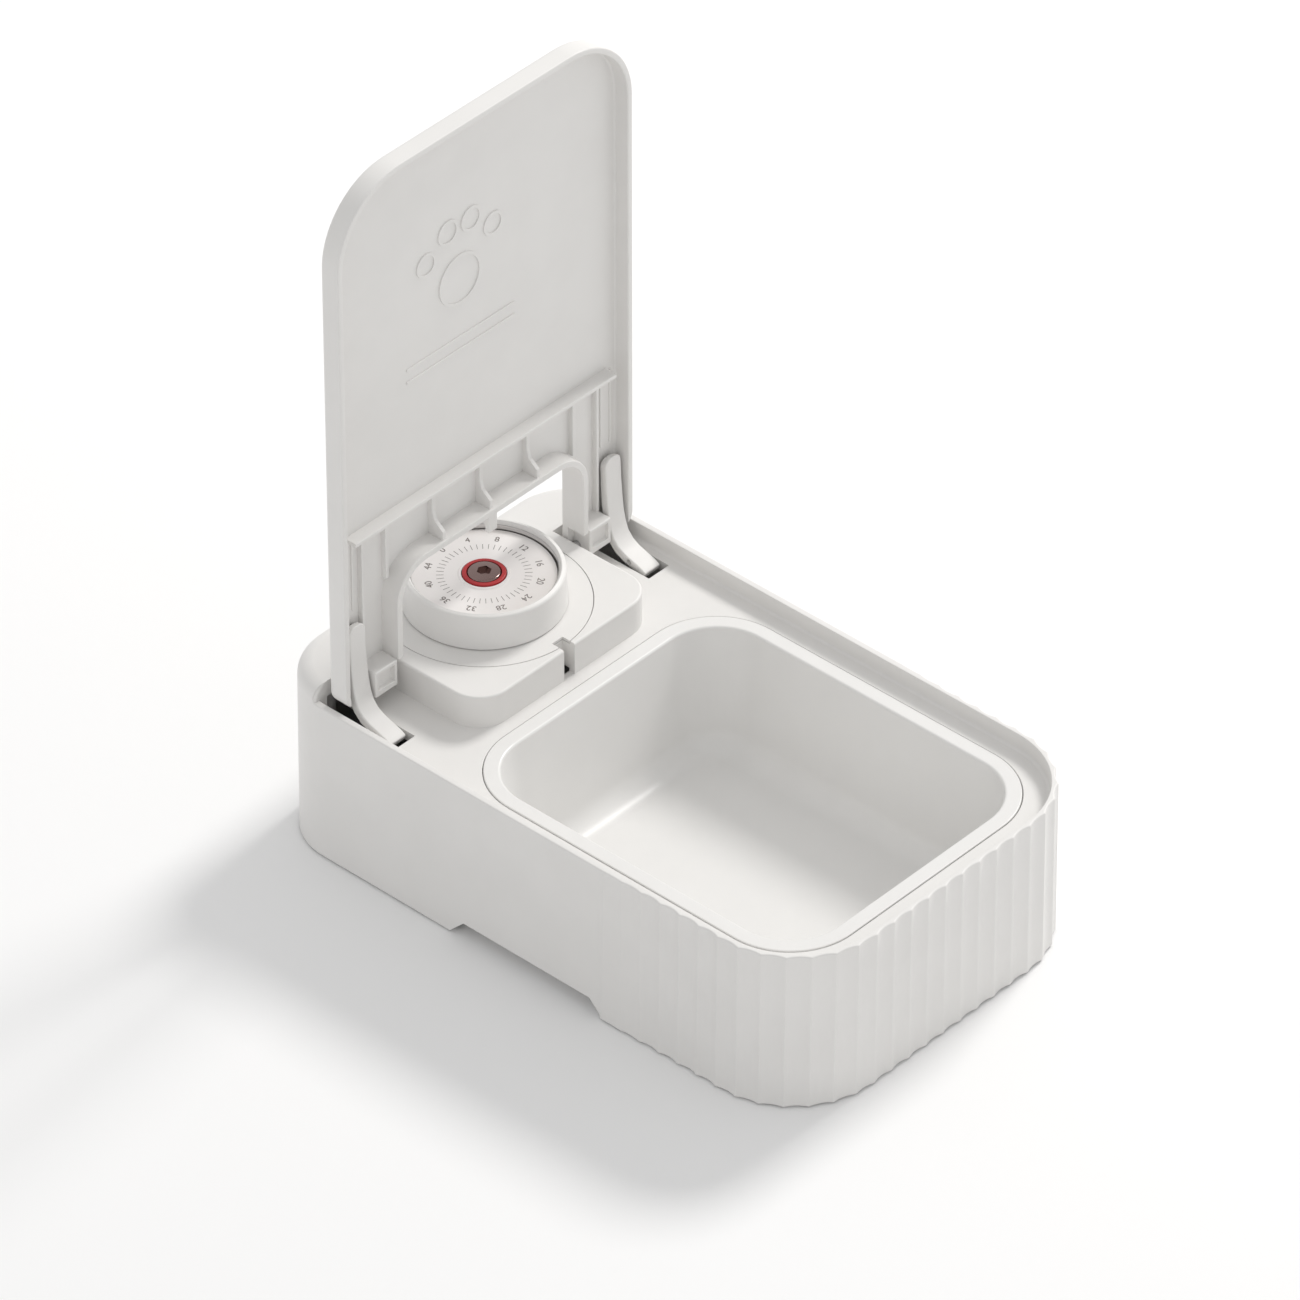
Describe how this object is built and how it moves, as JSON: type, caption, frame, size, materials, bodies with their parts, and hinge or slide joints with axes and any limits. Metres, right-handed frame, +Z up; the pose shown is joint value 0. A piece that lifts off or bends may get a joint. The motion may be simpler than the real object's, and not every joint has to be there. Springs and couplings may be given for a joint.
{
  "type": "automatic pet feeder",
  "caption": "Timed one-meal pet feeder: white fluted box with a removable bowl, a hinged lid raised upright, and a clockwork dial that springs it open.",
  "frame": {"origin": "middle of the footprint, on the floor under the rubber feet", "axes": "+X across the body, -Y towards the bowl end, +Y towards the hinge end, +Z up along the raised lid"},
  "size_m": [0.1494, 0.24, 0.2718],
  "materials": {
    "white_plastic": "fine satin white moulding",
    "base_plastic": "matte white moulding",
    "bowl_plastic": "smooth glossy white",
    "grey_plastic": "matte grey moulding",
    "dial_metal": "spun brushed champagne silver",
    "chrome_metal": "polished",
    "red_plastic": "glossy red",
    "steel": "plain steel",
    "foot_rubber": "dark matte rubber"
  },
  "bodies": {
    "housing": {"main_housing": "white_plastic", "base_cover": "base_plastic", "food_bowl": "bowl_plastic", "seal_plate": "white_plastic", "timer_case": "grey_plastic", "case_screw_1": "steel", "case_screw_2": "steel", "lid_spring_left": "steel", "lid_spring_right": "steel", "base_screw_1": "steel", "base_screw_2": "steel", "base_screw_3": "steel", "base_screw_4": "steel", "foot_1": "foot_rubber", "foot_2": "foot_rubber", "foot_3": "foot_rubber", "foot_4": "foot_rubber"},
    "lid": {"lid_panel": "white_plastic", "lid_catch": "white_plastic", "lift_arm_left": "white_plastic", "lift_arm_right": "white_plastic", "hinge_pin_left": "steel", "hinge_pin_right": "steel"},
    "dial": {"timer_knob": "white_plastic", "dial_ring": "chrome_metal", "dial_plate": "dial_metal", "dial_red_ring": "red_plastic", "dial_screw": "chrome_metal", "timer_shaft": "steel", "release_cam": "grey_plastic"},
    "latch": {"latch_slide": "grey_plastic"}
  },
  "joints": [
    {"name": "lid_hinge", "type": "hinge", "parent": "housing", "child": "lid", "pos_m": [0, 0.09055, 0.0652], "axis": [1, 0, 0], "range_deg": [0, 90], "stiffness_Nm_per_rad": 0.06, "springref_deg": -68.75},
    {"name": "timer_dial", "type": "hinge", "parent": "housing", "child": "dial", "pos_m": [0, 0.08945, 0.0803], "axis": [0, 0, 1], "range_deg": [-345, 0]},
    {"name": "latch_travel", "type": "slide", "parent": "housing", "child": "latch", "axis": [0, -1, 0], "range_m": [0, 0.0032]}
  ]
}
